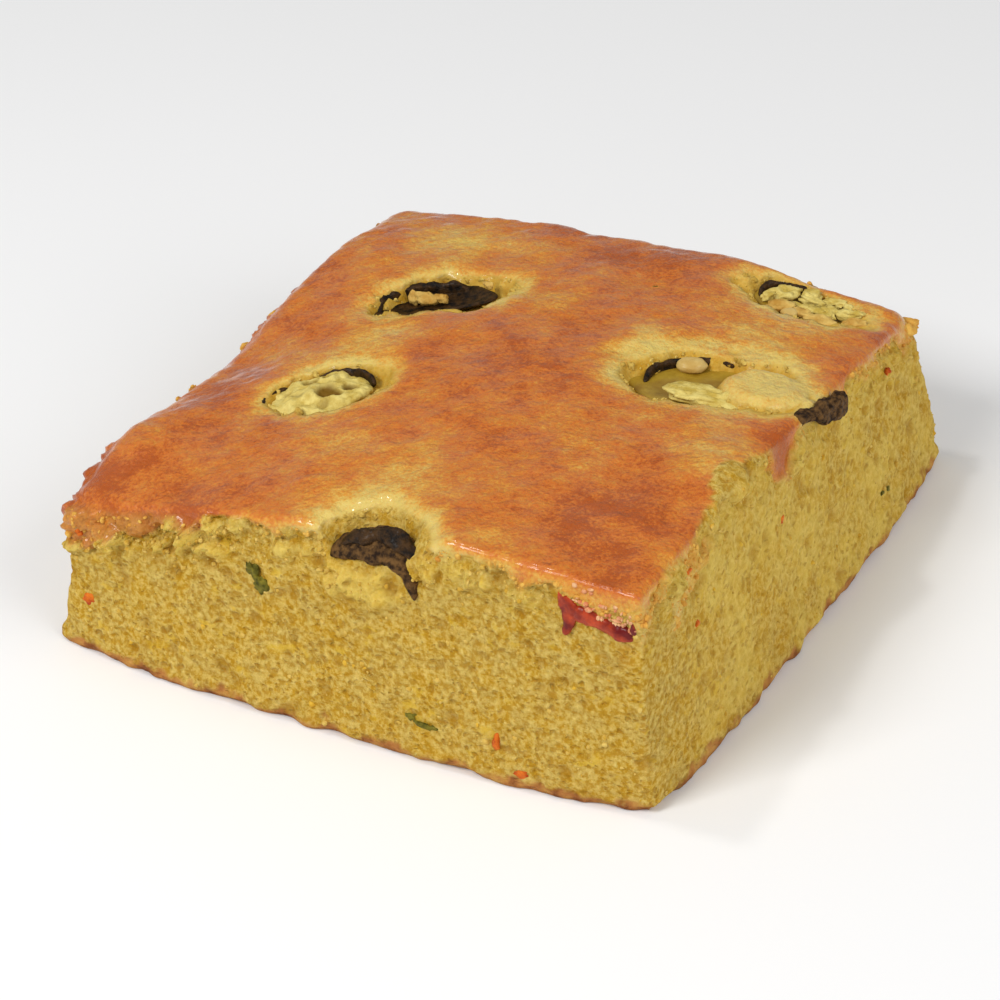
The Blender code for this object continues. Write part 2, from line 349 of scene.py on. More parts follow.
# %% Round the box and carry it onto the block
def round_box(places):
    """Box points with rounded edges: each moves to r from its nearest point of the inner box."""
    shares = places / np.array([CELLS_X, CELLS_Y, CELLS_Z])
    half = np.array([WIDTH / 2.0, DEPTH / 2.0, LATTICE_HEIGHT / 2.0])
    box = (shares * 2.0 - 1.0) * half
    baked = np.maximum(
        1.0 - smooth_step(0.02, 0.12, shares[:, 0]), smooth_step(0.88, 0.98, shares[:, 1])
    )
    top = smooth_step(0.55, 0.9, shares[:, 2])
    radius = 0.7 + top * (0.2 + 2.2 * baked)
    inner = np.clip(box, -half + radius[:, None], half - radius[:, None])
    out = box - inner
    length = np.maximum(np.linalg.norm(out, axis=1, keepdims=True), 1e-9)
    rounded = inner + out / length * np.minimum(length, radius[:, None])
    return (rounded / half + 1.0) / 2.0


def block_points(across, along, up, height):
    """Points of the block from shares of its width, depth and height, as the solid has them."""
    lean = between_corners(
        [np.array(pair) for pair in CORNER_LEANS], across[:, None], along[:, None]
    )
    foot = (1.0 - np.clip(up, 0.0, 1.0)) ** 1.5
    x = (across - 0.5) * WIDTH + 2.2 * along
    y = (along - 0.5) * DEPTH
    y = y - 3.0 * foot * flat_hump(across) * (1.0 - along)
    x = x + 2.0 * foot * flat_hump(along) * across
    x = x - 0.6 * foot * (1.0 - across)
    x = x + 1.3 * hump(up) * (1.0 - across) ** 8
    return np.stack([x + lean[:, 0] * up, y + lean[:, 1] * up, height * up], -1)


shares = round_box(lattice)
plan_x = (shares[:, 0] - 0.5) * WIDTH
plan_y = (shares[:, 1] - 0.5) * DEPTH
full_height = top_height(plan_x, plan_y)
dent, near_hollow = top_dents(plan_x, plan_y)
upper = smooth_step(0.35, 1.0, shares[:, 2])
bread_points = block_points(shares[:, 0], shares[:, 1], shares[:, 2], full_height)
bread_points[:, 2] -= dent * upper
below_top = (1.0 - shares[:, 2]) * full_height
print("deepest dent:", round(float(dent.max()), 1), "mm")

# %% [markdown]
# ## Where the crust ends
#
# The glossy crust covers the top and folds over the edges, further at the baked sides than at the
# cut ones. It hangs lower at the left corner and in a small flap beside the right hollow, stains
# the crumb near the thick corner, stops short of the right edge and is missing inside the
# hollows. This share, from 0 for crumb to 1 for crust, steers both the relief and the colours.

# %% Share of crust at each point
BAKED_DROP, CUT_DROP = 2.4, 0.7
SIDE_BAND = 3.0
CRUST_DROPS = np.array([  # where the crust hangs lower: x, y, spread, extra drop
    (-42.0, -43.0, 9.0, 5.4),
    (-28.0, -44.0, 8.0, 2.2),
    (37.0, -44.0, 5.5, 1.8),
    (43.0, -4.0, 3.0, 4.6),
    (42.0, 40.0, 5.0, 1.6),
    (43.0, -30.0, 5.0, 0.8),
])
side_of = np.stack([
    plan_y + DEPTH / 2.0, WIDTH / 2.0 - plan_x, DEPTH / 2.0 - plan_y, plan_x + WIDTH / 2.0
])
on_front = side_of[0] < SIDE_BAND
on_right = side_of[1] < SIDE_BAND
baked_side = np.minimum(side_of[2], side_of[3]) < np.minimum(side_of[0], side_of[1])
crust_drop = with_bells(np.where(baked_side, BAKED_DROP, CUT_DROP), plan_x, plan_y, CRUST_DROPS)


def skin_noise(size, layers, seed):
    """Layered noise at the skin's points, where they are by now."""
    return layered_noise(bread_points, size, layers, seed)


torn = 1.3 * skin_noise(2.6, 4, 5) * smooth_step(0.0, 1.0, below_top)
fade = np.where(baked_side, 0.5, 0.5 + 1.5 * smooth_step(-16.0, -2.0, plan_x))
crust_share = 1.0 - smooth_step(-0.4, fade, below_top - crust_drop + torn)
by_corner = ((plan_y + 34.0) / 11.0) ** 2 + ((below_top - 3.5) / 4.5) ** 2
stained = np.exp(-by_corner) * on_right * skin_noise(3.2, 3, 53)
crust_share = np.maximum(crust_share, np.clip(2.4 * stained, 0.0, 0.65))
edge_gap = 2.4 + 1.6 * skin_noise(3.0, 3, 57)
edge_gap = edge_gap * np.exp(-(((plan_y + 17.0) / 8.0) ** 2))
crust_share *= smooth_step(-0.8, 0.0, side_of[1] - edge_gap)
crust_share *= smooth_step(0.98, 1.16, near_hollow)
skirt = smooth_step(0.4, 2.0, below_top) * smooth_step(1.4, 3.0, crust_drop) * (plan_x < 0.0)
crust_share *= 1.0 - 0.3 * skirt * ~baked_side
print("crust covers", round(100 * float((crust_share > 0.5).mean())), "% of the points")

# %% [markdown]
# ## Relief
#
# Crust and crumb have different reliefs. The crumb has pores of two sizes and soft lumps, and it is
# coarser just under the crust, where the slice tore instead of being cut. Ridges come from noise
# without its sign, which folds sharply at zero. All of it moves points along the way they face.

# %% Relief of the crumb
facing = point_normals(bread_points, bread_quads)
on_side = smooth_step(0.25, 1.6, below_top)
big_pores = np.maximum(pore_depth(bread_points, 3.1, 0.12, 0.52, 61), 0.0)
small_pores = np.maximum(pore_depth(bread_points * (1.0, 1.0, 1.25), 1.5, 0.15, 0.55, 71), 0.0)
left_end = 1.0 - smooth_step(-24.0, -8.0, plan_x)
torn_band = (1.0 - smooth_step(3.0, 8.5, below_top)) * on_side
torn_band *= np.where(on_front, 0.55 + 1.1 * left_end, 0.55)
soft_lumps = skin_noise(3.0, 3, 11)
crumb_relief = 0.26 * soft_lumps - 0.55 * big_pores**1.3 - 0.26 * small_pores
crumb_relief += torn_band * (2.6 * np.abs(skin_noise(3.4, 4, 23)) - 0.7)
crumb_relief += 0.5 * torn_band * left_end * skin_noise(1.3, 2, 27)
groove = 0.12 + 0.4 * left_end * on_front
crumb_relief -= groove * np.exp(-((below_top - crust_drop - 0.9) ** 2) / 0.5) * on_side
print("big pores take up", round(100 * float((big_pores > 0.3).mean())), "% of the points")

# %% [markdown]
# Under the bent piece of pepper the front's crumb stands out as a mound, and behind the red pepper
# it is smooth, so that the strip lies flat. In the hollows it is closed and less rough.

# %% The mound, the hollows and the flat behind the red pepper
under_slice = ((bread_points[:, 0] - 4.4) / 5.2) ** 2 + ((bread_points[:, 2] - 21.4) / 2.6) ** 2
mound = np.exp(-(under_slice**1.5)) * on_front
crumb_relief += mound * (1.3 + 0.8 * skin_noise(2.2, 3, 29))
hollow_high = 1.0 - smooth_step(3.5, 5.5, below_top)
in_hollow = (1.0 - smooth_step(1.0, 1.3, near_hollow)) * hollow_high
crumb_relief *= 1.0 - 0.3 * in_hollow * (plan_y > -36.0)
by_strip = ((bread_points[:, 0] - 36.6) / 7.0) ** 2 + ((bread_points[:, 2] - 26.8) / 3.2) ** 2
crumb_relief *= 1.0 - np.exp(-(by_strip**2)) * on_front
print("the mound stands out", round(float((mound * crumb_relief).max()), 1), "mm")

# %% [markdown]
# The crust has a fine orange-peel with a few broad swells. It is crumpled where it hangs low, it
# bulges at the left corner, and its edge is frayed. The foot tucks in a little all round.

# %% Relief of the crust, and the push
crust_relief = 0.26 * skin_noise(7.0, 3, 31)
crust_relief += 0.09 * skin_noise(1.3, 2, 37)
crust_relief += skirt * 1.3 * (np.abs(skin_noise(1.9, 4, 41)) - 0.3)
near_corner = ((plan_x + 41.0) ** 2 + (plan_y + 40.0) ** 2) / 110.0
belly = smooth_step(0.3, 3.0, below_top) * (1.0 - smooth_step(5.5, 10.0, below_top))
relief = (1.0 - crust_share) * crumb_relief + crust_share * crust_relief
relief += 0.9 * belly * np.exp(-near_corner)
at_edge = 4.0 * crust_share * (1.0 - crust_share) * on_side
relief += 0.75 * at_edge * skin_noise(1.6, 3, 43)
relief *= 0.25 + 0.75 * smooth_step(0.0, 1.6, bread_points[:, 2])
tuck = 0.4 + 0.6 * plan_noise(bread_points[:, 0], bread_points[:, 1], 3.6, 2, 97)
relief -= np.clip(tuck, -0.2, 1.1) * (1.0 - smooth_step(0.0, 1.1, bread_points[:, 2]))
bread_points = bread_points + facing * relief[:, None]
bread_points[:, 2] = np.maximum(bread_points[:, 2], 0.0)
bread_points[lattice[:, 2] == 0, 2] = 0.0
print("relief from", round(float(relief.min()), 2), "to", round(float(relief.max()), 2), "mm")

# %% [markdown]
# The crumb's colours need three more shares: how deep in a pore a point is, which sets the
# painted shade there; how pale it is, a painted highlight on the torn band's raised lumps, and
# paler on the mound and on the finer right side; and how open the crumb is there. It is closed
# in the hollows and finer on the right side.

# %% Pore, pale and open shares
crumb_share = 1.0 - crust_share
pore_share = np.clip(big_pores + 0.3 * small_pores, 0.0, 1.0) * crumb_share
# Painted highlight on the torn band's raised lumps; the mound is made paler too
pale_and_highlight_share = np.clip(1.5 * torn_band * (crumb_relief + 0.1) + 0.3 * mound, 0.0, 0.8)
closed_share = (1.0 - smooth_step(0.95, 1.3, near_hollow)) * hollow_high
open_share = 1.0 - closed_share * np.where(plan_y < -36.0, 0.2, 0.7)
fine_side = smooth_step(-40.0, -26.0, plan_y) * on_right * on_side
open_share *= 1.0 - 0.15 * fine_side
pale_and_highlight_share = np.maximum(pale_and_highlight_share, fine_side * (0.38 + 0.5 * skin_noise(5.0, 3, 67)))
print("pale crumb is", round(100 * float((pale_and_highlight_share > 0.3).mean())), "% of the points")

# %% [markdown]
# ## Browning
#
# The top isn't one colour. It is deepest in the middle and along the back, golden in patches and
# pale yellow round the hollows, where the batter stayed thick and damp. A browning value, from 0
# for pale to 1 for deep orange-brown, is stored on the points for the material to read.

# %% Browning at each point
PALE_PATCHES = np.array([  # x, y, spread, how much paler; the last one is browner
    (-25.0, 27.5, 8.0, 0.50),
    (-20.5, 1.5, 6.0, 0.50),
    (-16.5, -8.0, 8.0, 0.32),
    (-27.0, -6.0, 5.0, 0.22),
    (16.0, 13.5, 6.5, 0.50),
    (28.0, 21.0, 6.0, 0.45),
    (16.5, 3.0, 5.0, 0.35),
    (39.0, -13.0, 7.5, 0.48),
    (35.0, -3.0, 5.0, 0.42),
    (35.4, 9.6, 6.5, 0.70),
    (2.0, -38.0, 11.0, 0.80),
    (-9.0, 16.0, 5.0, 0.35),
    (24.0, 29.0, 5.0, 0.25),
    (41.0, -34.0, 4.0, 0.30),
    (-12.0, -24.0, 9.0, 0.10),
    (-38.0, -39.0, 8.0, -0.35),
])
browning = 0.80 + 0.15 * skin_noise(11.0, 3, 83)
browning = with_bells(browning, plan_x, plan_y, PALE_PATCHES * (1.0, 1.0, 1.0, -0.8))
browning -= 0.52 * (1.0 - smooth_step(1.0, 1.6, near_hollow))
edge_glow = smooth_step(-0.1, 1.3, below_top) * ~baked_side * smooth_step(-22.0, -6.0, plan_x)
by_flap = np.exp(-((plan_x - 42.0) ** 2 + (plan_y + 3.5) ** 2) / 14.0)
browning += 0.35 * by_flap - 0.42 * edge_glow * (1.0 - by_flap) + 0.3 * skirt
browning = np.clip(browning, 0.0, 1.0)
foot_rise = 0.9 * soft_lumps + 0.5 * skin_noise(1.1, 2, 59)
foot_skin = 1.0 - smooth_step(0.6, 1.5, bread_points[:, 2] + foot_rise)
print("browning from", round(float(browning.min()), 2), "to", round(float(browning.max()), 2))

# %% [markdown]
# ## Materials
#
# A material is a shader with a network of nodes in front of it. What several finishes share, such
# as browning or pores, is a node group with named sockets: it can be used again with other values.
# The groups read Object coordinates, so the pattern stays on the bread whatever the camera does.

# %% Helpers for nodes
def linear(red, green, blue):
    """A colour given as 0 to 255 screen values, as the light values that a shader takes."""
    screen = np.array([red, green, blue]) / 255.0
    light = np.where(screen <= 0.04045, screen / 12.92, ((screen + 0.055) / 1.055) ** 2.4)
    return (*light.tolist(), 1.0)


def feed(tree, sockets, values):
    """Link each socket to another one, or give it a plain value."""
    for socket, value in zip(sockets, values):
        if isinstance(value, bpy.types.NodeSocket):
            tree.links.new(value, socket)
        else:
            socket.default_value = value


def feed_names(tree, made, **inputs):
    """Set a node's inputs by name, with _ for a space."""
    feed(tree, [made.inputs[label.replace("_", " ")] for label in inputs], inputs.values())


def node(tree, kind, group=None, **inputs):
    """A node of a kind, or a group placed in a tree; keywords set its inputs by name."""
    made = tree.nodes.new("ShaderNode" + kind)
    if group:
        made.node_tree = group
    feed_names(tree, made, **inputs)
    return made


def noise(tree, place, scale, detail, roughness=0.5):
    """A noise texture's value."""
    made = node(tree, "TexNoise", Vector=place, Scale=scale, Detail=detail, Roughness=roughness)
    return made.outputs[0]


def math_node(tree, operation, *values, kind="Math", clamp=False):
    """The result of an operation on numbers, or on vectors with the kind VectorMath."""
    made = tree.nodes.new("ShaderNode" + kind)
    made.operation = operation
    if clamp:
        made.use_clamp = True
    feed(tree, made.inputs, values)
    return made.outputs[0]


def mix_colour(tree, share, *colours):
    """Two colours, each a socket or screen values, mixed by a share."""
    made = tree.nodes.new("ShaderNodeMix")
    made.data_type = "RGBA"
    given_colours = [linear(*one) if isinstance(one, tuple) else one for one in colours]
    feed(tree, (made.inputs[0], made.inputs[6], made.inputs[7]), (share, *given_colours))
    return made.outputs[2]


def ramp(tree, share, stops):
    """A ramp through stops: each is a place with screen values, or with a plain number."""
    made = tree.nodes.new("ShaderNodeValToRGB")
    band = made.color_ramp
    while len(band.elements) < len(stops):
        band.elements.new(0.5)
    for element, (place, colour) in zip(band.elements, stops):
        element.position = place
        element.color = linear(*colour) if isinstance(colour, tuple) else (*[colour] * 3, 1.0)
    tree.links.new(share, made.inputs[0])
    return made.outputs[0]


def new_group(name, inputs, outputs):
    """A node group with named sockets, and the nodes that stand for its two ends."""
    group = bpy.data.node_groups.new(name, "ShaderNodeTree")
    for label, kind, value in inputs:
        socket = group.interface.new_socket(name=label, in_out="INPUT", socket_type=kind)
        if value is not None:
            socket.default_value = value
    for label, kind in outputs:
        group.interface.new_socket(name=label, in_out="OUTPUT", socket_type=kind)
    return group, group.nodes.new("NodeGroupInput").outputs, group.nodes.new("NodeGroupOutput")


# %% [markdown]
# The crust's colour runs from pale yellow through gold to a deep orange-brown. Noise of three sizes
# shifts the browning, so that patches have ragged edges and a fine mottle. Its relief is a fine
# orange-peel, and it is glossy where it is brownest and duller where it is pale.

# %% The baked crust group
def shifted(tree, value, by_noise, amount, clamp=False):
    """A value moved by noise, up to half the amount either way."""
    moved = math_node(tree, "MULTIPLY_ADD", by_noise, amount, value)
    return math_node(tree, "SUBTRACT", moved, amount / 2.0, clamp=clamp)


crust_group, given, result = new_group(
    "Baked crust",
    [("Place", "NodeSocketVector", None), ("Browning", "NodeSocketFloat", 0.8)],
    [("Colour", "NodeSocketColor"), ("Roughness", "NodeSocketFloat"), ("Relief", "NodeSocketFloat"),
     ("Wet", "NodeSocketFloat")],
)
tree = crust_group
mottle = noise(tree, given["Place"], 420.0, 4.0, 0.6)
blotch = noise(tree, given["Place"], 130.0, 3.0, 0.55)
grain = noise(tree, given["Place"], 2300.0, 3.0, 0.6)
brown = shifted(tree, given["Browning"], mottle, 0.7)
brown = shifted(tree, brown, grain, 0.9)
brown = shifted(tree, brown, blotch, 0.9, clamp=True)
brown_colour = ramp(tree, brown, [
    (0.00, (220, 192, 104)), (0.22, (218, 176, 84)), (0.42, (216, 150, 56)),
    (0.62, (206, 124, 44)), (0.80, (202, 110, 38)), (1.00, (174, 84, 26)),
])
gloss = ramp(tree, brown, [(0.0, 0.50), (0.5, 0.36), (1.0, 0.30)])
peel = noise(tree, given["Place"], 900.0, 3.0)
dimples = node(tree, "TexVoronoi", Vector=given["Place"], Scale=520.0)
dimples = math_node(tree, "MINIMUM", dimples.outputs["Distance"], 0.35)
peel = math_node(tree, "ADD", peel, dimples)
peel = math_node(tree, "ADD", peel, math_node(tree, "MULTIPLY", grain, 0.5))
wet = ramp(tree, noise(tree, given["Place"], 160.0, 2.0), [(0.40, 0.15), (0.62, 0.7)])
feed_names(tree, result, Colour=brown_colour, Roughness=gloss, Relief=peel, Wet=wet)
print("crust group has", len(crust_group.nodes), "nodes")

# %% [markdown]
# The crumb is a sponge. Its colour changes with three things: the pores, painted darker and more
# ochre as the shade that falls in them; damp patches of stronger yellow where the corn is coarse;
# and a painted highlight of pale cream on the grains that the relief raises, with painted shade
# between them.

# %% The open crumb group
def scattered_pits(tree, place, scale, widest):
    """Separate pits, one in each cell and each of its own width: 1 inside and 0 outside."""
    cells = node(tree, "TexVoronoi", Vector=place, Scale=scale)
    width = node(tree, "SeparateColor", Color=cells.outputs["Color"]).outputs[0]
    width = math_node(tree, "MULTIPLY", width, widest)
    inside = math_node(tree, "SUBTRACT", width, cells.outputs["Distance"])
    return math_node(tree, "MULTIPLY", inside, 4.5, clamp=True)


crumb_group, given, result = new_group(
    "Open crumb",
    [("Place", "NodeSocketVector", None), ("Pore", "NodeSocketFloat", 0.0),
     ("Pale", "NodeSocketFloat", 0.0), ("Open", "NodeSocketFloat", 1.0)],
    [("Colour", "NodeSocketColor"), ("Relief", "NodeSocketFloat")],
)
tree = crumb_group
bend = node(tree, "TexNoise", Vector=given["Place"], Scale=800.0, Detail=3.0)
bent = math_node(tree, "MULTIPLY", bend.outputs["Color"], (1.4 * MM,) * 3, kind="VectorMath")
bent = math_node(tree, "ADD", given["Place"], bent, kind="VectorMath")
bent = math_node(tree, "MULTIPLY", bent, (1.0, 1.0, 1.4), kind="VectorMath")
wide_pits = scattered_pits(tree, bent, 470.0, 0.42)
small_pits = scattered_pits(tree, bent, 1050.0, 0.50)
all_pits = math_node(tree, "MAXIMUM", wide_pits, math_node(tree, "MULTIPLY", small_pits, 0.7))
all_pits = math_node(tree, "MULTIPLY", all_pits, given["Open"])
grain = noise(tree, given["Place"], 1350.0, 5.0, 0.68)
damp = ramp(tree, noise(tree, given["Place"], 300.0, 5.0, 0.65), [(0.42, 0.0), (0.58, 1.0)])
yellow = mix_colour(tree, damp, (188, 154, 66), (191, 147, 32))
# Painted highlight: cream on the grains that the relief raises
grain_highlight = ramp(tree, grain, [(0.44, 0.0), (0.68, 0.85)])
yellow = mix_colour(tree, grain_highlight, yellow, (227, 200, 112))
# Painted shade: darker ochre between the grains, where the relief is low
shade = ramp(tree, grain, [(0.32, 0.75), (0.50, 0.0)])
yellow = mix_colour(tree, shade, yellow, (172, 124, 16))
coarse = ramp(tree, noise(tree, bent, 360.0, 2.0), [(0.62, 0.0), (0.72, 0.6)])
yellow = mix_colour(tree, coarse, yellow, (218, 178, 50))
closed = mix_colour(tree, damp, (210, 168, 66), (198, 148, 38))
yellow = mix_colour(tree, given["Open"], closed, yellow)
# Paler by the Pale share: in part a painted highlight on the raised, torn lumps
yellow = mix_colour(tree, math_node(tree, "MULTIPLY", given["Pale"], 0.6), yellow, (232, 203, 98))
# Painted shade in the pits and in the mesh's pores
dark = math_node(tree, "MULTIPLY", all_pits, 0.62)
dark = math_node(tree, "MAXIMUM", dark, math_node(tree, "MULTIPLY", given["Pore"], 0.6), clamp=True)
yellow = mix_colour(tree, dark, yellow, (158, 108, 6))
height = math_node(tree, "MULTIPLY", grain, 0.9)
height = math_node(tree, "SUBTRACT", height, math_node(tree, "MULTIPLY", all_pits, 0.6))
roughened = math_node(tree, "ADD", math_node(tree, "MULTIPLY", given["Open"], 0.8), 0.2)
height = math_node(tree, "MULTIPLY", height, roughened)
feed_names(tree, result, Colour=yellow, Relief=height)
print("crumb group has", len(crumb_group.nodes), "nodes")


# %% [markdown]
# The bread's own material mixes the two groups by the share of crust, and browns the very foot.
# A thin clear coat on the crust gives the sticky glints, and its weight follows the crust, so
# that the crumb stays matte.

# %% Helpers for a material
def attribute(tree, name):
    """A value stored on the points."""
    made = tree.nodes.new("ShaderNodeAttribute")
    made.attribute_name = name
    return made.outputs["Fac"]


def new_material(name):
    """A material with its node tree, its shader and the Object coordinates."""
    made = bpy.data.materials.new(name)
    made.use_nodes = True
    tree = made.node_tree
    place = tree.nodes.new("ShaderNodeTexCoord").outputs["Object"]
    return made, tree, tree.nodes["Principled BSDF"], place


def bump_to(tree, surface, height, depth):
    """Relief of a real depth, in millimetres, fed to a shader's normal."""
    made = node(tree, "Bump", Height=height, Strength=1.0, Distance=depth * MM)
    feed_names(tree, surface, Normal=made.outputs[0])


# %% The bread's material
bread_looks, tree, surface, place = new_material("bread")
stored = {
    "crust": crust_share, "browning": browning, "pore": pore_share, "foot": foot_skin,
    "pale": pale_and_highlight_share, "open": open_share,
}
at_point = {name: attribute(tree, name) for name in stored}
has_crust = at_point["crust"]
crust = node(tree, "Group", crust_group, Place=place, Browning=at_point["browning"]).outputs
crumb = node(
    tree, "Group", crumb_group, Place=place, Pore=at_point["pore"], Pale=at_point["pale"],
    Open=at_point["open"],
).outputs
colour = mix_colour(tree, has_crust, crumb["Colour"], crust["Colour"])
foot_colour = ramp(tree, noise(tree, place, 420.0, 4.0), [
    (0.34, (136, 78, 36)), (0.50, (180, 118, 60)), (0.68, (208, 158, 80))
])
colour = mix_colour(tree, at_point["foot"], colour, foot_colour)
rough = node(tree, "MapRange", Value=has_crust, To_Min=0.85, To_Max=crust["Roughness"])
coat = math_node(tree, "MULTIPLY", has_crust, crust["Wet"])
feed_names(
    tree, surface, Base_Color=colour, Roughness=rough.outputs[0], Coat_Weight=coat,
    Coat_Roughness=0.10, Specular_IOR_Level=0.2, Subsurface_Weight=0.15,
    Subsurface_Radius=(1.0, 0.6, 0.2), Subsurface_Scale=1.2 * MM,
)
crumb_height = math_node(tree, "MULTIPLY", crumb["Relief"], 0.8)
crust_height = math_node(tree, "MULTIPLY", crust["Relief"], 0.65)
height = node(tree, "MapRange", Value=has_crust, To_Min=crumb_height, To_Max=crust_height)
bump_to(tree, surface, height.outputs[0], 0.55)

bread = show_mesh(
    "bread_crumb_and_crust",
    bread_points,
    bread_quads.tolist() + [bread_floor.tolist()],
    bread_looks,
    stored,
)
bread.data.polygons[len(bread.data.polygons) - 1].use_smooth = False
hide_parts("cornbread")

# %% [markdown]
# ## Pepper, seeds and crumbs: closed grids of rings
#
# The slices, the straps of skin and the lumps are all tubes of rings that end in a point. One
# function joins a batch of them into a single piece, so that a thousand crumbs are one mesh.

# %% A piece from ring grids
def ring_faces(rings, around, offset=0):
    """Faces of a tube of `rings` rings of `around` points, with one more point at each end.

    Points are numbered: first end, then ring after ring, then last end.
    """
    ring = np.arange(rings - 1)[:, None] * around
    step = np.arange(around)[None, :]
    after = (step + 1) % around
    quads = np.stack(
        [ring + step, ring + after, ring + after + around, ring + step + around], -1
    ).reshape(-1, 4) + 1 + offset
    last = offset + rings * around + 1
    step, after = step[0], after[0]
    cap = np.stack([np.full(around, offset), after + 1 + offset, step + 1 + offset], -1)
    end_ring = 1 + offset + (rings - 1) * around
    end = np.stack([np.full(around, last), step + end_ring, after + end_ring], -1)
    return quads.tolist() + cap.tolist() + end.tolist()


def ring_piece(name, batches, looks, attributes=None):
    """One object from several ring grids, each (first point, rings x around x 3, last point).
    Attributes are rules that give a value for each point."""
    parts, faces, offset = [], [], 0
    for first, grid, last in batches:
        parts += [[first], grid.reshape(-1, 3), [last]]
        faces += ring_faces(*grid.shape[:2], offset)
        offset += grid.size // 3 + 2
    points = np.concatenate(parts)
    points[:, 2] = np.maximum(points[:, 2], 0.05)
    stored = {label: rule(points) for label, rule in (attributes or {}).items()}
    piece = show_mesh(name, points, faces, looks, stored)
    shape = bmesh.new()
    shape.from_mesh(piece.data)
    bmesh.ops.recalc_face_normals(shape, faces=shape.faces)
    shape.to_mesh(piece.data)
    shape.free()
    return piece


# %% [markdown]
# One group serves the small pieces: two colours mixed by noise, with a relief from the same noise.
# Flesh, skin, pith and seeds differ only in the colours, the size of the mottle and the gloss.

# %% The mottled food group and the materials made with it
mottle_group, given, result = new_group(
    "Mottled food",
    [("Place", "NodeSocketVector", None), ("Light", "NodeSocketColor", None),
     ("Dark", "NodeSocketColor", None), ("Scale", "NodeSocketFloat", 400.0)],
    [("Colour", "NodeSocketColor"), ("Relief", "NodeSocketFloat")],
)
tree = mottle_group
spots = noise(tree, given["Place"], given["Scale"], 5.0, 0.6)
share = ramp(tree, spots, [(0.38, 0.0), (0.62, 1.0)])
colour = mix_colour(tree, share, given["Dark"], given["Light"])
feed_names(tree, result, Colour=colour, Relief=spots)


def mottled(name, light, dark, scale, roughness, depth, gloss=0.0, painted_shade=None):
    """A material of two colours in a mottle of that scale, with relief of a depth in mm, and a
    colour of painted shade where the points' painted shade value says so."""
    made, tree, surface, place = new_material(name)
    look = node(
        tree, "Group", mottle_group, Place=place, Light=linear(*light), Dark=linear(*dark), Scale=scale
    ).outputs
    colour = look["Colour"]
    if painted_shade:
        colour = mix_colour(tree, attribute(tree, "painted_shade"), colour, painted_shade)
    feed_names(
        tree, surface, Base_Color=colour, Roughness=roughness, Coat_Weight=gloss,
        Coat_Roughness=0.2, Specular_IOR_Level=0.15,
    )
    bump_to(tree, surface, look["Relief"], depth)
    return made


# %% [markdown]
# Each finish is a light and a dark colour, the scale of its mottle, its roughness, the depth of its
# relief and, where it is damp, some gloss. Baked pepper is olive to dark brown, never bright green.

# %% The small pieces' materials
flesh_looks = mottled("green_flesh", (170, 138, 44), (140, 104, 20), 260.0, 0.42, 0.25, 0.35)
# Dark skin, partly painted shade: it also colours the hollows' far walls and the back left hollow
skin_and_shade_looks = mottled("dark_skin_and_shade", (70, 46, 18), (18, 10, 4), 900.0, 0.5, 0.6, 0.08)
brown_looks = mottled("brown_flesh", (112, 80, 42), (38, 22, 8), 1300.0, 0.6, 0.6)
red_looks = mottled("red_skin", (196, 72, 30), (104, 16, 14), 300.0, 0.4, 0.3, 0.2)
pith_looks = mottled("pith", (226, 206, 122), (192, 164, 72), 520.0, 0.6, 0.5)
# The pith is darkened with painted shade in its holes and at its rim
holed_looks = mottled(
    "pith_with_holes", (226, 206, 122), (196, 168, 78), 520.0, 0.6, 0.5, painted_shade=(116, 84, 16)
)
seed_looks = mottled("seed", (214, 186, 116), (190, 152, 78), 300.0, 0.45, 0.15, 0.2)
batter_looks = mottled("batter", (216, 182, 100), (184, 136, 56), 380.0, 0.6, 0.6)
bit_looks = mottled("crumb_bits", (222, 192, 104), (200, 156, 52), 700.0, 0.8, 0.6)
herb_looks = mottled("green_flecks", (128, 118, 36), (66, 64, 10), 900.0, 0.5, 0.3)
orange_looks = mottled("orange_flecks", (224, 120, 30), (178, 66, 18), 700.0, 0.45, 0.3)
corn_looks = mottled("corn_flecks", (226, 186, 66), (206, 158, 44), 500.0, 0.5, 0.3)
crust_bit_looks = mottled("crust_bits", (226, 182, 86), (206, 142, 56), 600.0, 0.7, 0.4)
rim_bit_looks = mottled("rim_bits", (218, 188, 98), (182, 146, 58), 600.0, 0.7, 0.4)
floury_looks = mottled("floury_bits", (232, 190, 140), (206, 116, 76), 700.0, 0.6, 0.3)
print("materials:", len(bpy.data.materials))

# %% [markdown]
# ## The four slices in the top
#
# In the back left hollow only the dark inside of the wall shows, behind a lump of batter: its dark
# colour is partly the skin and partly painted shade in the hollow. The left slice shows its pith,
# a pale membrane with holes where seeds sat, darkened with painted shade in the holes and at its
# rim. The right one is the largest: smooth olive flesh with a seed and a slab of pith, its cut end
# dark at the side. The one by the back corner lies under loose bits of batter.

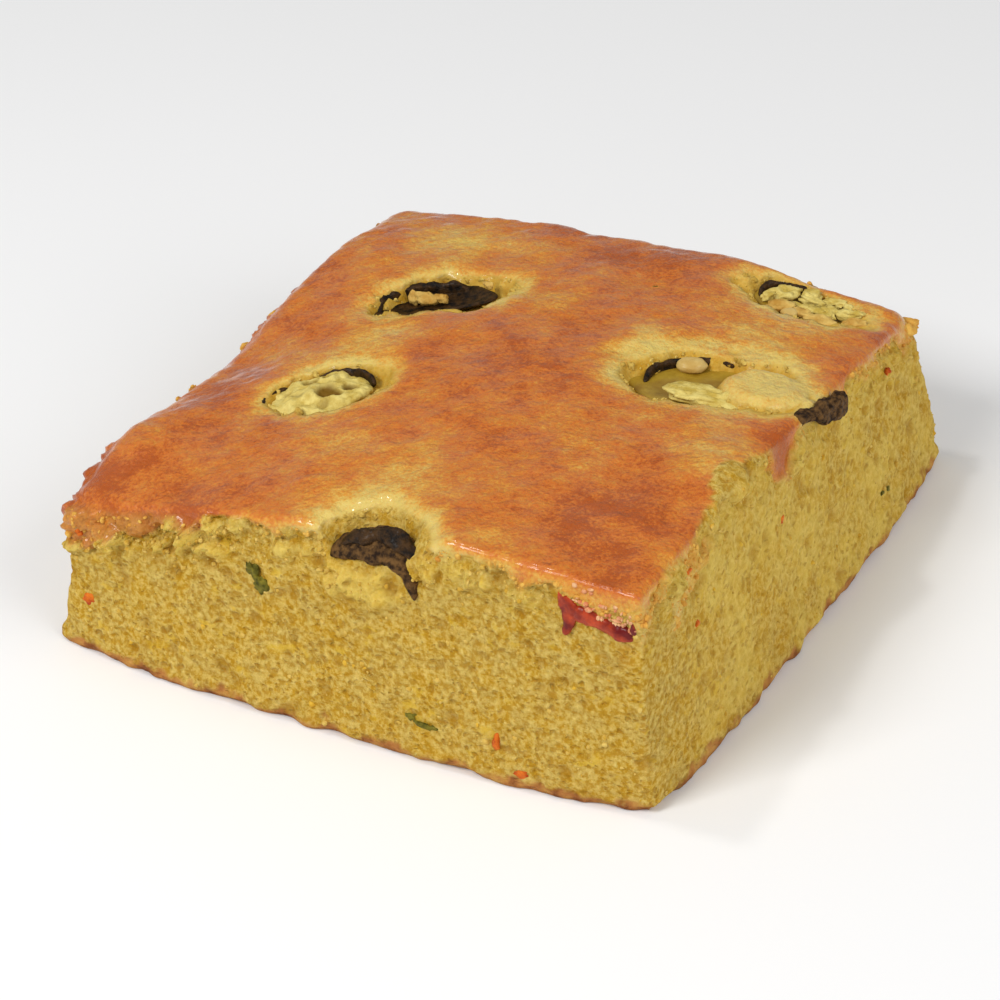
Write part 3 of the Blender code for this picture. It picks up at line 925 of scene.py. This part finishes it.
# %% An oval with its own top
def oval_piece(middle, half_length, half_width, turn, top, thickness, seed, rings=40, around=90):
    """A thin oval solid. Its upper skin has the height top(share, x, y), where share runs from 0
    in the middle to 1 at the rim, and its underside lies `thickness` lower."""
    share = np.sin(np.linspace(0.0, np.pi, rings))[1:-1, None]
    upper = (np.linspace(0.0, np.pi, rings) < np.pi / 2.0)[1:-1, None]
    angle = np.linspace(0.0, 2.0 * np.pi, around, endpoint=False)[None, :]
    wobble = 1.0 + 0.06 * np.cos(3.0 * angle + seed) + 0.04 * np.cos(5.0 * angle + 2.0 * seed)
    x, y = oval_place(*middle, half_length, half_width, turn, share * wobble, angle)
    high = top(share + 0.0 * angle, x, y)
    edge = 0.5 * thickness * (1.0 - np.sqrt(np.clip(1.0 - share**6, 0.0, 1.0)))
    z = np.where(upper, high - edge, high - thickness + edge)
    crown = float(top(np.zeros(1), *np.reshape(middle, (2, 1)))[0])
    return (*middle, crown), np.stack([x, y, z], -1), (*middle, crown - thickness)


# %% The slices' flesh
def sunk(depth, lift=0.0, start=0.55):
    """A top that follows the bread's at a depth, and rises by lift from `start` to the rim."""
    def top(share, x, y):
        return top_height(x, y) - depth + lift * smooth_step(start, 1.0, share)
    return top


# The back left slice is dark all over: partly its skin, partly painted shade in the hollow
slice_back_left = ring_piece(
    "slice_back_left",
    [oval_piece((-19.6, 16.4), 8.8, 5.0, 30.0, sunk(3.0, 1.2, 0.45), 0.9, 1)],
    skin_and_shade_looks,
)
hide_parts("pepper_slice_back_left")
slice_right = ring_piece(
    "slice_right",
    [oval_piece((27.6, 7.2), 11.2, 7.0, 8.0, sunk(2.5, 0.5, 0.7), 1.4, 2)],
    flesh_looks,
)
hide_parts("pepper_slice_right")
slice_back_right = ring_piece(
    "slice_back_right",
    [oval_piece((28.6, 35.6), 8.2, 4.6, -3.0, sunk(2.3, 0.6, 0.6), 1.0, 3)],
    flesh_looks,
)
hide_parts("pepper_slice_back_right")

# %% The left slice's pith, with the holes that its seeds left
PITH_HOLES = np.array([  # x, y, half size, depth
    (-22.2, -10.6, 0.9, 1.1),
    (-18.6, -12.6, 1.4, 1.1),
    (-16.2, -10.4, 0.9, 1.6),
    (-21.9, -14.4, 0.8, 0.4),
    (-17.6, -14.9, 0.7, 0.5),
    (-20.3, -9.4, 0.6, 0.9),
    (-16.9, -12.7, 0.7, 1.0),
    (-24.0, -13.4, 0.5, 0.4),
])


def pith_top(share, x, y):
    """A low dome with a soft rim, less the holes, each a bell of its own depth."""
    high = top_height(x, y) - 1.5 + 0.9 * (1.0 - share**2) + 0.45 * plan_noise(x, y, 2.2, 4, 7)
    return high - hole_share(x, y)


def hole_share(x, y):
    """How deep the holes are at a place."""
    deep = np.zeros_like(x)
    for hole_x, hole_y, size, depth in PITH_HOLES:
        deep += depth * np.exp(-(((x - hole_x)**2 + (y - hole_y)**2) / size**2) ** 2.0)
    return deep


def pith_painted_shade(points):
    """Painted shade: dark in the holes and just at the rim."""
    rim_share = oval_distance(points[:, 0], points[:, 1], -19.8, -12.4, 7.3, 5.2, 37.0)
    return np.clip(1.1 * hole_share(points[:, 0], points[:, 1])
                   + smooth_step(0.95, 1.08, rim_share), 0.0, 1.0)


slice_left = ring_piece(
    "slice_left",
    [oval_piece((-19.8, -12.4), 7.3, 5.2, 37.0, pith_top, 1.6, 4, 70, 150)],
    holed_looks, {"painted_shade": pith_painted_shade},
)
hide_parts("pepper_slice_left")

# %% [markdown]
# The wall of a slice is a strap of dark skin that stands round its flesh; its dark colour is partly
# the skin and partly painted shade where the hollow's far wall lies in shadow. It is thin, so it is
# a rounded cross-section carried along a path: that bends freely and stays closed at its ends.

# %% Straps
def smooth_path(corners, count):
    """Points on a smooth curve through corners, by the four-point rule of Catmull and Rom."""
    corners = np.asarray(corners, float)
    ends = np.vstack([2 * corners[0] - corners[1], corners, 2 * corners[-1] - corners[-2]])
    t = np.linspace(0.0, len(corners) - 1.0, count)
    i = np.minimum(t.astype(int), len(corners) - 2)
    t = (t - i)[:, None]
    a, b, c, d = ends[i], ends[i + 1], ends[i + 2], ends[i + 3]
    return 0.5 * (2*b + (c - a)*t + (2*a - 5*b + 4*c - d)*t**2 + (3*b - a - 3*c + d)*t**3)


def strap(corners, wide, rough=0.12, count=60, around=20, seed=1):
    """A tube along a path. Each corner is x, y, z, half width, half thickness; `wide` is the way
    its width points. The cross-section is |c|^0.7, |s|^0.7 of the circle's cosine and sine."""
    path = smooth_path(corners, count)
    middle, half_width, half_thick = path[:, :3], path[:, 3:4], path[:, 4:5]
    along = np.gradient(middle, axis=0)
    along /= np.linalg.norm(along, axis=1, keepdims=True)
    across = np.asarray(wide, float) - along * (along @ np.asarray(wide, float))[:, None]
    across /= np.linalg.norm(across, axis=1, keepdims=True)
    normal = np.cross(along, across)
    angle = np.linspace(0.0, 2.0 * np.pi, around, endpoint=False)
    c = np.sign(np.cos(angle)) * np.abs(np.cos(angle)) ** 0.7
    s = np.sign(np.sin(angle)) * np.abs(np.sin(angle)) ** 0.7
    taper = np.sqrt(np.clip(1.0 - np.linspace(-1.0, 1.0, count) ** 8, 0.02, 1.0))[:, None]
    rings = middle[:, None] + (across * half_width * taper)[:, None] * c[:, None]
    rings = rings + (normal * half_thick * taper)[:, None] * s[:, None]
    push = layered_noise(rings, 1.5, 3, seed)
    rings = rings + (rings - middle[:, None]) * push[..., None] * rough * 2.0
    return middle[0], rings, middle[-1]


# %% Dark skin of the walls, seen edge-on at the far side of each hollow, partly painted shade
UP = (0.0, 0.0, 1.0)


def wall_strap(name, start, stop, share, depth, tall, thick, **more):
    """A strap standing along a hollow's wall, from one angle to another in the oval's own turn,
    at a share of the oval and a depth under the top. Its ends are a quarter as tall."""
    x, y = oval_place(*HOLLOWS[name][:5], share, np.radians(np.linspace(start, stop, 7)))
    swell = 0.25 + 0.75 * np.sin(np.linspace(0.0, np.pi, 7)) ** 0.6
    path = np.stack([x, y, top_height(x, y) - depth, tall * swell, thick + 0.0 * x], -1)
    return strap(path, UP, **more)


skin_and_shade_straps = [
    wall_strap("back_left", 200.0, 40.0, 0.84, 3.0, 2.0, 0.5, seed=2),
    wall_strap("right", 190.0, 55.0, 0.88, 2.4, 1.3, 0.45, seed=3),
    wall_strap("back_right", 200.0, 95.0, 0.86, 2.0, 1.2, 0.4, seed=5),
    wall_strap("back_right", 88.0, 5.0, 0.88, 2.0, 1.1, 0.4, seed=6),
    wall_strap("left", 200.0, 115.0, 0.92, 2.0, 1.2, 0.35, seed=7),
    wall_strap("left", 88.0, 0.0, 0.93, 1.7, 1.2, 0.35, seed=8),
]
ring_piece("pepper_walls_and_shade", skin_and_shade_straps, skin_and_shade_looks)
cut_end = [
    strap([(39.4, 1.4, 28.4, 0.3, 0.5), (41.0, 3.8, 28.1, 0.8, 0.9), (42.0, 6.6, 27.5, 1.3, 1.1),
           (42.4, 9.4, 26.8, 1.8, 1.1), (42.5, 12.0, 26.1, 1.6, 0.9), (42.2, 13.6, 25.6, 0.5, 0.4)],
          UP, rough=0.2, count=80, around=36, seed=9),
]
ring_piece("slice_cut_end", cut_end, brown_looks)

# %% [markdown]
# Pith, seeds, batter and crumbs are lumps: balls pressed out of shape by noise, each as long, wide
# and high as its row says.

# %% Pith, a seed and lumps of batter lying in the hollows
def lumps(rows, rough, seed, rings=14, around=20):
    """Balls at x, y, z with half length, width and height and a turn, pressed out of shape:
    each point moves along its own radius by noise of about the ball's size."""
    polar = np.linspace(0.0, np.pi, rings + 2)[1:-1, None]
    angle = np.linspace(0.0, 2.0 * np.pi, around, endpoint=False)[None, :]
    ball = np.stack([np.sin(polar) * np.cos(angle), np.sin(polar) * np.sin(angle),
                     np.cos(polar) + 0.0 * angle], -1)
    made = []
    for index, row in enumerate(np.asarray(rows, float)):
        push = 1.0 + rough * layered_noise(ball + 9.0 * index, 0.9, 3, seed)
        shape = np.moveaxis(ball * push[..., None] * row[3:6], -1, 0)
        spun = np.stack([*turned(shape[0], shape[1], row[6]), shape[2]], -1)
        ends = [row[:3] + (0, 0, spun[end, :, 2].mean()) for end in (0, -1)]
        made.append((ends[0], row[:3] + spun, ends[1]))
    return made


pith_rows = [
    (27.4, 3.3, 28.1, 4.7, 1.7, 0.8, 9.0), (24.2, 2.7, 28.2, 2.0, 1.2, 0.7, -12.0),
    (30.6, 4.2, 28.1, 1.9, 1.4, 0.7, 25.0),
    (24.0, 36.8, 24.4, 1.9, 1.2, 0.8, 30.0), (27.4, 37.2, 24.2, 2.3, 1.2, 0.8, -20.0),
    (34.2, 35.8, 24.0, 1.7, 1.0, 0.7, 10.0), (31.2, 35.0, 24.0, 1.6, 1.0, 0.6, -30.0),
    (30.6, 37.6, 23.8, 1.6, 0.9, 0.6, 15.0), (22.6, 34.8, 24.8, 1.4, 0.9, 0.6, 60.0),
    (33.0, 37.8, 23.4, 1.3, 0.8, 0.6, -10.0), (27.6, 34.4, 24.3, 1.8, 1.0, 0.6, 5.0),
]
ring_piece("pith_lumps", lumps(pith_rows, 0.6, 51, 22, 34), pith_looks)
seed_rows = [(22.4, 10.8, 27.3, 2.0, 1.6, 0.9, 20.0), (27.0, 31.6, 25.0, 1.3, 1.0, 0.5, 0.0)]
ring_piece("seeds", lumps(seed_rows, 0.10, 52, 18, 26), seed_looks)
batter_rows = [
    (-20.2, 16.4, 24.0, 1.7, 1.1, 1.1, 25.0), (-21.8, 16.0, 23.9, 0.8, 0.7, 1.0, 60.0),
    (-18.2, 17.2, 24.0, 1.3, 0.9, 0.7, 10.0), (-12.4, 20.2, 26.0, 0.8, 0.5, 0.5, 0.0),
    (25.0, 32.4, 25.0, 2.2, 1.2, 0.7, 20.0), (31.6, 31.6, 24.9, 2.6, 1.1, 0.7, -8.0),
    (28.4, 32.4, 24.8, 1.8, 0.9, 0.6, 0.0), (35.4, 33.6, 24.2, 1.5, 0.9, 0.6, 30.0),
]
ring_piece("batter_lumps", lumps(batter_rows, 0.35, 53, 22, 34), batter_looks)

# %% [markdown]
# ## The pieces that the front cut met
#
# The front cut opened one hollow and left its slice bent like a small bridge over a mound of
# crumb, black on top and brown underneath. Nearer the thick corner it cut through a red pepper,
# which shows as a blob, a band and a thin upturned end.

# %% The bent piece and the red pepper
bent = strap([
    (-0.7, -42.2, 24.6, 0.6, 0.4), (1.4, -41.8, 26.0, 1.7, 0.6), (5.0, -41.4, 27.2, 2.1, 0.8),
    (8.3, -41.4, 27.3, 2.2, 0.9), (10.2, -41.9, 26.0, 1.7, 0.9), (11.1, -42.8, 24.0, 0.8, 0.7),
    (11.8, -43.6, 22.4, 0.4, 0.5),
], (0.0, 0.75, 0.66), rough=0.09, count=90, around=36, seed=12)
bent_pepper = ring_piece("bent_pepper", [bent], brown_looks)
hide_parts("pepper_piece_front")
bent_skin = strap([
    (1.2, -41.9, 26.6, 0.5, 0.5), (3.4, -41.6, 27.9, 0.8, 0.6), (6.0, -41.2, 28.6, 0.9, 0.6),
    (8.6, -41.2, 28.8, 1.1, 0.7), (10.6, -41.6, 27.7, 1.0, 0.7), (11.6, -42.2, 26.0, 0.7, 0.6),
], (0.0, 0.75, 0.66), rough=0.2, count=60, around=20, seed=21)
ring_piece("bent_skin", [bent_skin], skin_and_shade_looks)
SIDEWAYS = (1.0, 0.0, 0.0)
red_parts = [
    strap([(31.4, -43.3, 29.8, 0.4, 0.8), (32.0, -43.3, 28.4, 1.1, 0.8), (32.6, -43.3, 26.9, 1.4, 0.8),
           (32.4, -43.4, 25.2, 0.8, 0.8), (32.1, -43.5, 23.7, 0.3, 0.7)], SIDEWAYS, rough=0.12, seed=14),
    strap([(32.2, -43.3, 27.4, 0.9, 0.8), (34.6, -43.3, 27.1, 1.2, 0.8), (37.4, -43.3, 26.4, 1.0, 0.8),
           (39.6, -43.2, 25.9, 1.1, 0.8), (40.9, -43.1, 25.6, 0.6, 0.7)], UP, rough=0.12, seed=15),
    strap([(40.8, -43.1, 25.8, 0.4, 0.7), (40.9, -43.2, 27.2, 0.4, 0.7), (40.8, -43.2, 28.8, 0.3, 0.6),
           (40.6, -43.2, 30.2, 0.15, 0.4)], SIDEWAYS, rough=0.12, seed=16),
]
red_pepper = ring_piece("red_pepper", red_parts, red_looks)
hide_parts("red_pepper_strip")

# %% [markdown]
# ## Flecks and loose crumbs
#
# Chopped pepper and coarse corn went all through the batter, so flecks show on every cut side.
# A fleck is placed by finding the nearest point of the finished skin, so it sits in the surface
# whatever the relief did there. Loose crumbs cling under the crust and round the hollows, where
# they are chosen at random from the skin's points, with a fixed seed.

# %% Flecks in the cut sides
def on_skin(targets):
    """The skin's point nearest to each target, a little under the surface."""
    nearest = [np.argmin(((bread_points - target) ** 2).sum(1)) for target in targets]
    return bread_points[nearest] - 0.2 * facing[nearest]


def flecks(name, rows, looks, seed, rough=0.55):
    """Lumps at the skin's nearest points: rows of x, y, z, half sizes in x, y, z and a turn."""
    rows = np.array(rows, float)
    rows[:, :3] = on_skin(rows[:, :3])
    return ring_piece(name, lumps(rows, rough, seed, 12, 16), looks)


flecks("green_flecks", [
    (-11.2, -45.0, 19.8, 1.0, 0.5, 1.3, 0.0), (-10.2, -45.0, 18.2, 1.1, 0.5, 1.1, 0.0),
    (13.0, -46.0, 5.4, 1.6, 0.4, 0.6, 0.0), (11.2, -46.0, 5.9, 0.7, 0.4, 0.5, 0.0),
    (44.5, 24.2, 5.6, 0.4, 0.8, 0.8, 0.0), (44.5, 22.8, 6.6, 0.4, 0.5, 0.6, 0.0),
    (9.0, 27.6, 28.6, 0.8, 0.4, 0.2, 20.0), (-20.0, 43.0, 12.0, 1.2, 0.4, 0.7, 0.0),
    (-41.5, 8.0, 9.0, 0.4, 1.3, 0.6, 0.0), (18.0, 43.0, 7.0, 0.8, 0.4, 1.0, 0.0),
], herb_looks, 91)
flecks("orange_flecks", [
    (-37.4, -45.0, 7.7, 0.9, 0.4, 0.7, 0.0), (23.1, -46.0, 5.9, 0.6, 0.4, 1.0, 0.0),
    (26.0, -46.0, 2.5, 1.2, 0.4, 0.5, 0.0), (-37.2, -44.0, 17.1, 0.5, 0.4, 0.4, 0.0),
    (44.5, -5.5, 19.0, 0.4, 0.6, 0.5, 0.0), (44.0, 28.3, 20.9, 0.4, 0.5, 0.5, 0.0),
    (44.0, -29.9, 19.5, 0.4, 0.5, 0.4, 0.0), (43.0, -31.4, 27.7, 0.4, 0.5, 0.4, 0.0),
    (5.0, 43.0, 15.0, 0.9, 0.4, 0.6, 0.0), (-41.5, -20.0, 12.0, 0.4, 0.8, 0.6, 0.0),
    (-41.5, 28.0, 6.0, 0.4, 0.6, 0.8, 0.0),
], orange_looks, 92)

# %% Coarse corn and loose crumbs, scattered over the skin
chance = np.random.default_rng(7)


def scattered(name, count, weight, low, high, rough, seed, grid, looks):
    """One piece of lumps at points of the skin drawn by weight, with sizes between two limits.
    A grid is the rings in a lump and the points in a ring."""
    at = chance.choice(len(bread_points), count, False, weight / weight.sum())
    size = low + (high - low) * chance.random((count, 1)) ** 2
    shape = size * (0.7 + 0.6 * chance.random((count, 3)))
    turn = 360.0 * chance.random((count, 1))
    rows = np.hstack([bread_points[at] - 0.35 * size * facing[at], shape, turn])
    ring_piece(name, lumps(rows, rough, seed, *grid), looks)


open_side = on_side * smooth_step(0.4, 0.9, crumb_share) * (bread_points[:, 2] > 1.0)
scattered("corn_flecks", 40, open_side, 0.2, 0.5, 0.4, 93, (7, 11), corn_looks)
bit_weight = open_side * (0.15 + torn_band)
scattered("crumb_bits", 1400, bit_weight, 0.12, 0.42, 0.35, 94, (5, 8), bit_looks)
edge_of_crust = smooth_step(0.15, 0.45, crust_share) * (1.0 - smooth_step(0.6, 0.95, crust_share))
edge_of_crust = edge_of_crust * on_side * (1.0 - 0.7 * skirt) * (bread_points[:, 2] > 3.0)
scattered("crust_bits", 420, edge_of_crust, 0.12, 0.42, 0.35, 95, (6, 9), crust_bit_looks)
rim_weight = np.exp(-((near_hollow - 1.0) ** 2) / 0.004) * smooth_step(0.4, 0.9, dent)
rim_weight = rim_weight * hollow_high * (bread_points[:, 1] > -42.5)
scattered("rim_bits", 300, rim_weight, 0.10, 0.46, 0.6, 96, (8, 12), rim_bit_looks)
flecks("crust_nubs", [
    (41.0, 42.5, 21.6, 1.5, 1.1, 0.9, 20.0), (42.6, 40.6, 21.2, 1.1, 1.2, 0.9, 0.0),
    (37.4, 43.4, 22.0, 1.3, 0.9, 0.8, 0.0), (18.0, 43.2, 25.8, 0.9, 0.6, 0.4, 0.0),
    (-41.4, 9.0, 20.8, 0.7, 1.0, 0.6, 0.0), (-41.4, 2.0, 19.4, 0.6, 0.9, 0.5, 0.0),
], crust_bit_looks, 98, 0.3)

# %% [markdown]
# Above the red pepper the crumb is floury. Its bits lie in a band that falls to the right, as the
# strip does, and most of them are near its lower side.

# %% Floury bits above the red pepper
FLOURY_COUNT, FLOURY_START, FLOURY_LENGTH, FLOURY_FALL = 90, 33.2, 7.6, 0.26
along_band = FLOURY_LENGTH * chance.random(FLOURY_COUNT)
none = np.zeros(FLOURY_COUNT)
floury_rows = np.stack([
    FLOURY_START + along_band, none - 44.5,
    28.5 - FLOURY_FALL * along_band + 3.0 * chance.random(FLOURY_COUNT) ** 2,
    0.14 + 0.24 * chance.random(FLOURY_COUNT), none + 0.26,
    0.12 + 0.18 * chance.random(FLOURY_COUNT), none,
], -1)
floury_rows[:, :3] = on_skin(floury_rows[:, :3]) + (0.0, -0.15, 0.0)
ring_piece("floury_bits", lumps(floury_rows, 0.4, 99, 8, 12), floury_looks)

# %% [markdown]
# ## Floor, light and camera
#
# The bread stands on a pale floor under soft light: a large key from the front left, a weaker one
# from the right, and an even, bright surround. Large lights keep the shadows soft, and the key's
# low angle makes the crust glint.

# %% Floor and surround
floor_mesh = bpy.data.meshes.new("floor")
floor_mesh.from_pydata([(-3, -3, 0), (3, -3, 0), (3, 3, 0), (-3, 3, 0)], [], [(0, 1, 2, 3)])
floor = linked("floor", floor_mesh)
floor.location.z = -0.2 * MM
floor_looks, tree, surface, place = new_material("floor")
feed_names(tree, surface, Base_Color=(0.92, 0.92, 0.92, 1.0), Roughness=0.9)
floor_mesh.materials.append(floor_looks)

world = bpy.data.worlds.new("surround")
world.use_nodes = True
SURROUND = 0.32
feed(world.node_tree, world.node_tree.nodes["Background"].inputs, ((1.0, 1.0, 1.0, 1.0), SURROUND))
bpy.context.scene.world = world
bpy.context.scene.view_settings.view_transform = "Standard"
print("surround strength:", SURROUND)


# %% Lights
def soft_light(name, azimuth, elevation, distance, size, power):
    """A square light that looks at the bread from a direction, 0 degrees being the front."""
    turn, lift = math.radians(azimuth), math.radians(elevation)
    spot = distance * Vector((
        math.sin(turn) * math.cos(lift), -math.cos(turn) * math.cos(lift), math.sin(lift)
    ))
    lamp = bpy.data.lights.new(name, "AREA")
    lamp.energy = power
    lamp.size = size
    made = linked(name, lamp)
    made.location = spot
    made.rotation_euler = (-spot).to_track_quat("-Z", "Y").to_euler()
    print(name, "of", power, "W at", [round(v, 2) for v in spot], "m")


soft_light("key_light", -22.0, 45.0, 0.8, 0.28, 3.7)
soft_light("fill_light", 78.0, 35.0, 0.9, 0.6, 3.2)
soft_light("top_light", -80.0, 70.0, 0.9, 0.07, 0.9)

# %% Camera
CAMERA_PLACE = (175.05, -306.13, 244.58)
CAMERA_TURN, CAMERA_TILT, CAMERA_ROLL = 29.88, 56.0, -3.0
camera = linked("camera", bpy.data.cameras.new("camera"))
camera.data.sensor_width = 36.0
camera.data.lens = 115.2
camera.data.clip_start = 0.01
camera.matrix_world = (
    Matrix.Translation((CAMERA_PLACE + CENTRE_SHIFT) * MM)
    @ Matrix.Rotation(math.radians(CAMERA_TURN), 4, "Z")
    @ Matrix.Rotation(math.radians(CAMERA_TILT), 4, "X")
    @ Matrix.Rotation(math.radians(CAMERA_ROLL), 4, "Z")
)
bpy.context.scene.camera = camera
